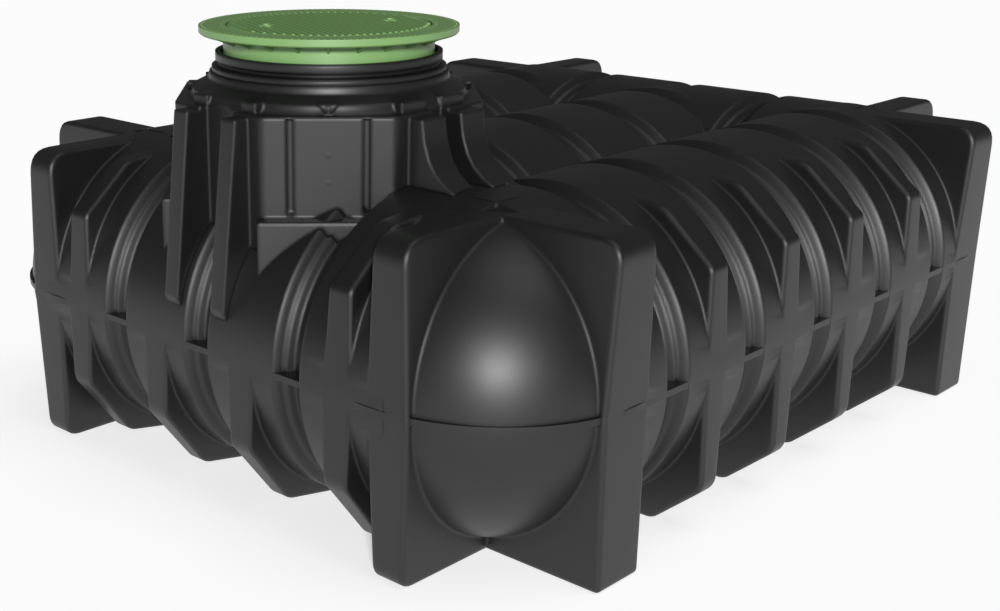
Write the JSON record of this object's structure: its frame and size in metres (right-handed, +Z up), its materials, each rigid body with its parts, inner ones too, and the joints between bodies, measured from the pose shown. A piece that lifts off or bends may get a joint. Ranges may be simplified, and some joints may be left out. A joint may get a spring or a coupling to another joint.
{
  "type": "underground water tank",
  "caption": "Flat underground rainwater tank of two ribbed half shells, with an inspection neck, telescopic access shaft and lift-off lid",
  "frame": {"origin": "on the ground under the middle of the tank", "axes": "X along the long side, Y along the short side, Z up; the neck is at the low X end"},
  "size_m": [2.89, 2.3, 1.336],
  "materials": {
    "black_shell": "satin black polyethylene",
    "green_cover": "satin green polyethylene",
    "rubber": "black rubber"
  },
  "bodies": {
    "tank": {"lower_shell": "black_shell", "upper_shell": "black_shell", "seam_bead": "black_shell", "neck": "black_shell", "collar": "black_shell", "shaft_seal": "rubber"},
    "access_shaft": {"shaft": "green_cover", "lid_seal": "rubber"},
    "lid": {"lid": "green_cover"}
  },
  "joints": [
    {"name": "shaft_slide", "type": "slide", "parent": "tank", "child": "access_shaft", "axis": [0, 0, 1], "range_m": [-0.02, 0.12]},
    {"name": "lid_lift", "type": "slide", "parent": "access_shaft", "child": "lid", "axis": [0, 0, 1], "range_m": [0, 0.3]}
  ]
}
